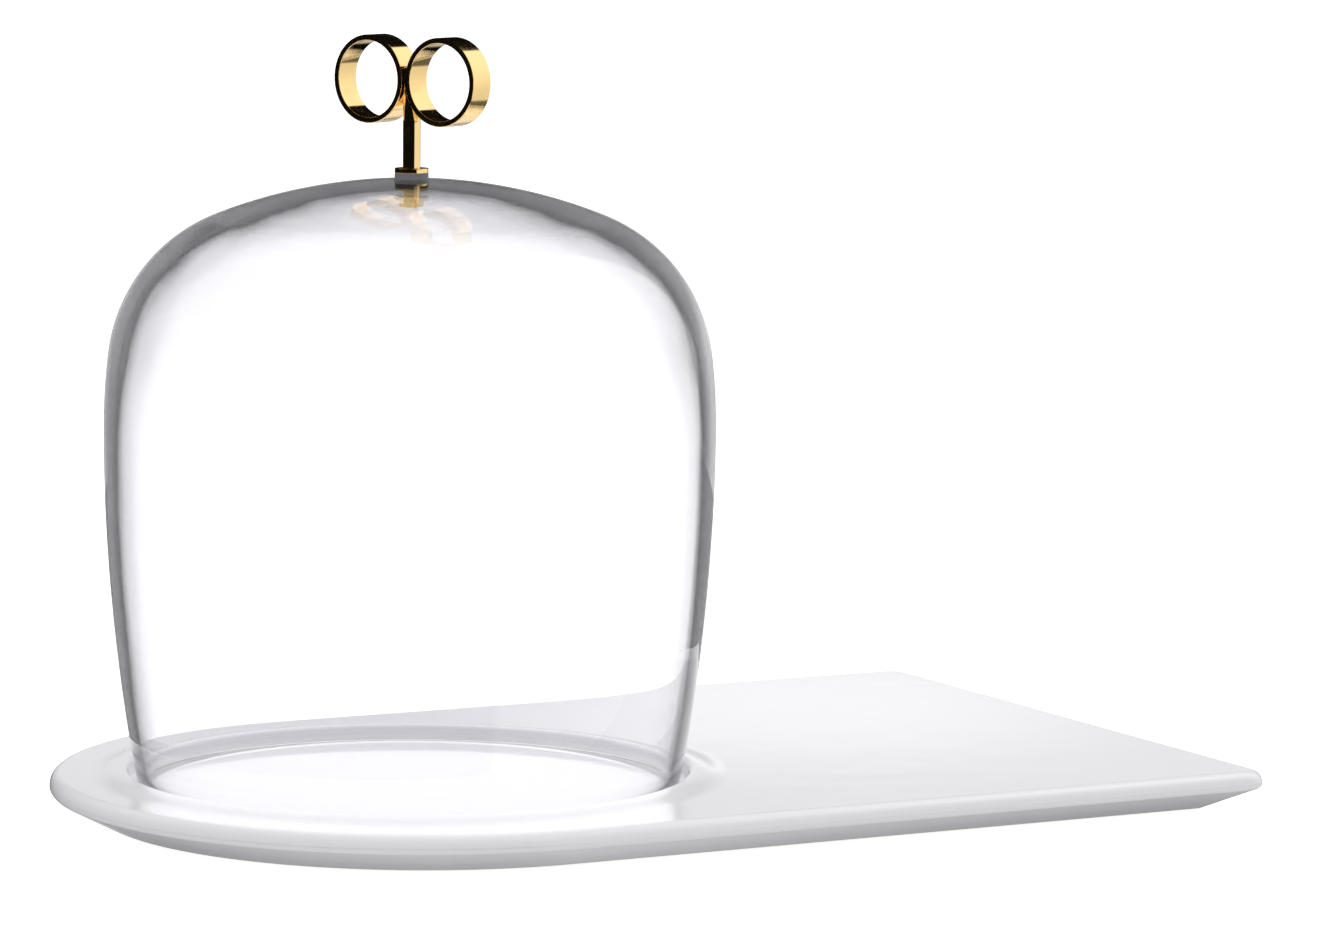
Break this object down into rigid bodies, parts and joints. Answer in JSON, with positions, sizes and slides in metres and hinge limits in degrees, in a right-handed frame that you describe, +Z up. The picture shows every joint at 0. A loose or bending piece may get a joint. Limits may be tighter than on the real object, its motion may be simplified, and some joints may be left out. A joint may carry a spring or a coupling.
{
  "type": "cheese dome",
  "caption": "Clear glass bell with a brass finger-ring handle, standing in the raised round seat of a white porcelain serving board with a square end.",
  "frame": {"origin": "on the plane that the board's pads rest on, at the middle of the whole object's box", "axes": "+Z up; +X along the board from its round nose, where the glass stands, to its square end"},
  "size_m": [0.376, 0.245, 0.2565],
  "materials": {
    "porcelain": "clear gloss glaze over white porcelain",
    "silicone": "matt translucent silicone",
    "clear_glass": "clear blown glass, fire polished",
    "gasket": "grey silicone, matt",
    "polished_brass": "mirror polished",
    "turned_brass": "as turned, fine lathe marks"
  },
  "bodies": {
    "base": {"serving_board": "porcelain", "pad_nose": "silicone", "pad_middle_front": "silicone", "pad_middle_back": "silicone", "pad_end_front": "silicone", "pad_end_back": "silicone"},
    "bell": {"glass_dome": "clear_glass", "outer_gasket": "gasket", "hole_sleeve": "gasket", "inner_gasket": "gasket"},
    "handle": {"handle_stem": "polished_brass", "stem_collar": "polished_brass", "finger_ring_front": "polished_brass", "finger_ring_back": "polished_brass", "threaded_stud": "turned_brass", "clamp_washer": "turned_brass", "clamp_nut": "turned_brass"}
  },
  "joints": [
    {"name": "dome_lift", "type": "slide", "parent": "base", "child": "bell", "axis": [0, 0, 1], "range_m": [0, 0.2]},
    {"name": "handle_turn", "type": "hinge", "parent": "bell", "child": "handle", "pos_m": [-0.0705, 0, 0.212], "axis": [0, 0, 1], "continuous": true}
  ]
}
